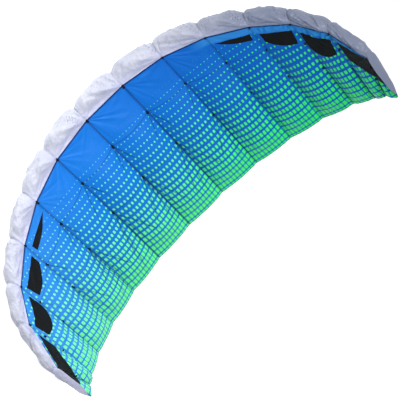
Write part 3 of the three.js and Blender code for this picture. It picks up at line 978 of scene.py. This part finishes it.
for row, share in enumerate(LOOP_ROWS):
    points, triangles, count = [], [], 0
    for i, at in enumerate(stations[1:-1]):
        spot, back, up = belly_spot(at, share)
        size = lerp(1.0, LOOP_SHRINK, smoothstep(abs(spot[0] - LOOP_LARGEST), *LOOP_SHRINK_FROM))
        lean = unit(up + 0.5 * back * math.sin(2.1 * i + row))
        for part in (
            tube_ring(spot + LOOP_BASE * up, back, lean, LOOP_REACH * size, LOOP_RISE * size,
                      LOOP_CORD * size),
            knot_ball(spot + TOP_KNOT_AT * size * lean, back, up, TOP_KNOT_SIZE * size, i + row),
            knot_ball(spot + BASE_KNOT_AT * up, back, up, BASE_KNOT_SIZE * size, 2 * i + row),
        ):
            points.append(part[0])
            triangles.append(part[1] + count)
            count += len(part[0])
    points = lay_down(np.concatenate(points))
    loops = make_mesh(f"bridle_loops_{'abc'[row]}", points, np.concatenate(triangles))
    sheets["loops", row] = dress(loops, WEBBING, "black_webbing")

# The ribs, flat sheets inside the skins. Each port is its place back and out and its radius, as
# shares of the chord.
RIB_PORTS = ((0.12, 0.075, 0.035), (0.36, 0.068, 0.03))
RIB_CLEARANCE = 0.0016
RIB_TOE_CLEARANCE = 0.02
RIB_MESH_STEP = 0.014


def rib_cloth(name, at, clear):
    """A rib inside the skins, with its ports, that far from them."""
    chord = at["chord"]
    t = np.linspace(0, 1, 81)[1:-4]
    back, out, facing_back, facing_out = top_section(chord, t)
    edge = np.stack((back - clear * facing_back, out - clear * facing_out), 1)
    low = np.linspace(edge[-1, 0], clear, 40)
    share = low / chord
    under = -4 * BELLY_CAMBER * chord * share * (1 - share) + clear
    edge = np.concatenate((edge, np.stack((low, under), 1)))
    loops = [edge]
    for port_back, port_out, radius in RIB_PORTS:
        turn = np.linspace(0, 2 * math.pi, 33)[:-1]
        port = np.stack((port_back + radius * np.cos(turn), port_out + radius * np.sin(turn)), 1)
        loops.append(port * chord)
    spots, sides = [], []
    for loop in loops:
        first = len(spots)
        spots.extend(loop)
        sides.extend((first + k, first + (k + 1) % len(loop)) for k in range(len(loop)))
    fill = np.meshgrid(np.arange(-0.06, chord, RIB_MESH_STEP), np.arange(0, 0.16 * chord, RIB_MESH_STEP))
    fill = np.stack(fill, -1).reshape(-1, 2)
    far = np.min(np.linalg.norm(fill[:, None] - np.array(spots)[None], axis=2), axis=1) > 0.006
    spots = np.concatenate((np.array(spots), fill[far]))
    found = delaunay_2d_cdt([Vector(p) for p in spots], sides, [], 0, 1e-7)
    spots = np.array([tuple(p) for p in found[0]])
    triangles = np.array([f for f in found[2] if len(f) == 3])
    middle = spots[triangles].mean(1)
    kept = in_outline(middle, loops[0]) & ~in_outline(middle, loops[1]) & ~in_outline(middle, loops[2])
    used, packed = np.unique(triangles[kept], return_inverse=True)
    spots, triangles = spots[used], packed.reshape(-1, 3)
    flat = at["lead"] + spots[:, :1] * at["back"] + spots[:, 1:] * at["out"]
    across = unit(np.cross(at["back"], at["out"]))
    corner = flat[triangles[0]]
    if np.cross(corner[1] - corner[0], corner[2] - corner[0]) @ across < 0:
        triangles = triangles[:, ::-1]
    points = np.concatenate((flat + across * CLOTH / 2, flat - across * CLOTH / 2))
    area = np.sum(np.abs(np.cross(spots[triangles[:, 1]] - spots[triangles[:, 0]],
                                  spots[triangles[:, 2]] - spots[triangles[:, 0]]))) / 2
    size = np.ptp(spots, axis=0)
    return make_mesh(name, lay_down(points), close_sheet(triangles, len(flat))), size, area


for i, at in enumerate(stations[1:-1]):
    toe_in = abs(at["spans"][0] - at["spans"][1])
    rib, size, area = rib_cloth(numbered("rib_cloth", i), at, RIB_CLEARANCE + RIB_TOE_CLEARANCE * toe_in)
    dress(rib, RIB, "rib_ripstop", numbered("rib", i))


def inlet_size(i):
    """An inlet's flat width, length and area, from its outline on the smooth belly."""
    cell = cells[i]
    line = inlet_outline(cell, *inlet_of[i])
    a, t = np.clip(line[:, 0] / cell["width"], 0, 1), line[:, 1] / cell["chord"]
    rim = cloth_points(cell, "belly", a, t)[0]
    rim = rim - rim.mean(0)
    area = np.linalg.norm(np.cross(rim, np.roll(rim, -1, axis=0)).sum(0)) / 2
    length, width = np.ptp(rim @ np.linalg.svd(rim, full_matrices=False)[2][:2].T, axis=0)
    return width, length, area


for (kind, i), piece in sheets.items():
    if kind == "loops":
        continue
    if kind == "inlet":
        width, length, area = inlet_size(i)
    else:
        width, length, area = cut_size(cells[i], kind)
        if kind == "belly" and i in inlet_of:
            area -= inlet_size(i)[2]

# The floor and the light.
FLOOR_HALF = 30
FLOOR_GLOW = 0.55
floor_corners = [(FLOOR_HALF * x, FLOOR_HALF * y, 0) for x, y in ((-1, -1), (1, -1), (1, 1), (-1, 1))]
floor_mesh = bpy.data.meshes.new("floor")
floor_mesh.from_pydata(floor_corners, [], [(0, 1, 2, 3)])
floor = bpy.data.objects.new("floor", floor_mesh)
floor.location.z = -0.0002
bpy.context.scene.collection.objects.link(floor)
floor_paint = Cloth("pale_floor", 0.9, Specular_IOR_Level=0.1)
floor_paint.colour(floor_paint.mix(floor_paint.noise(1.5), linear(250, 250, 251), linear(253, 253, 254)))
floor_paint.shader.inputs["Emission Color"].default_value = (1, 1, 1, 1)
floor_paint.shader.inputs["Emission Strength"].default_value = FLOOR_GLOW
floor_mesh.materials.append(floor_paint.material)


def soft_spot(name, place, aim, radius, power, cone):
    data = bpy.data.lights.new(name, "SPOT")
    data.energy, data.shadow_soft_size = power, radius
    data.spot_size, data.spot_blend = math.radians(cone), 1.0
    light = bpy.data.objects.new(name, data)
    light.location = place
    light.rotation_mode = "QUATERNION"
    light.rotation_quaternion = (Vector(aim) - Vector(place)).to_track_quat("-Z", "Y")
    bpy.context.scene.collection.objects.link(light)


soft_spot("key", (1.7, 0.6, 4.6), (-0.5, -0.05, 0.15), 0.6, 780, 44)
soft_spot("front", (0.9, 4.0, 1.7), (-0.6, 0.1, 0.2), 0.3, 330, 30)
world = bpy.data.worlds.new("studio")
bpy.context.scene.world = world
world.use_nodes = True
world.node_tree.nodes["Background"].inputs[0].default_value = (0.93, 0.95, 1.0, 1.0)
world.node_tree.nodes["Background"].inputs[1].default_value = 0.36
bpy.context.scene.view_settings.view_transform = "Standard"
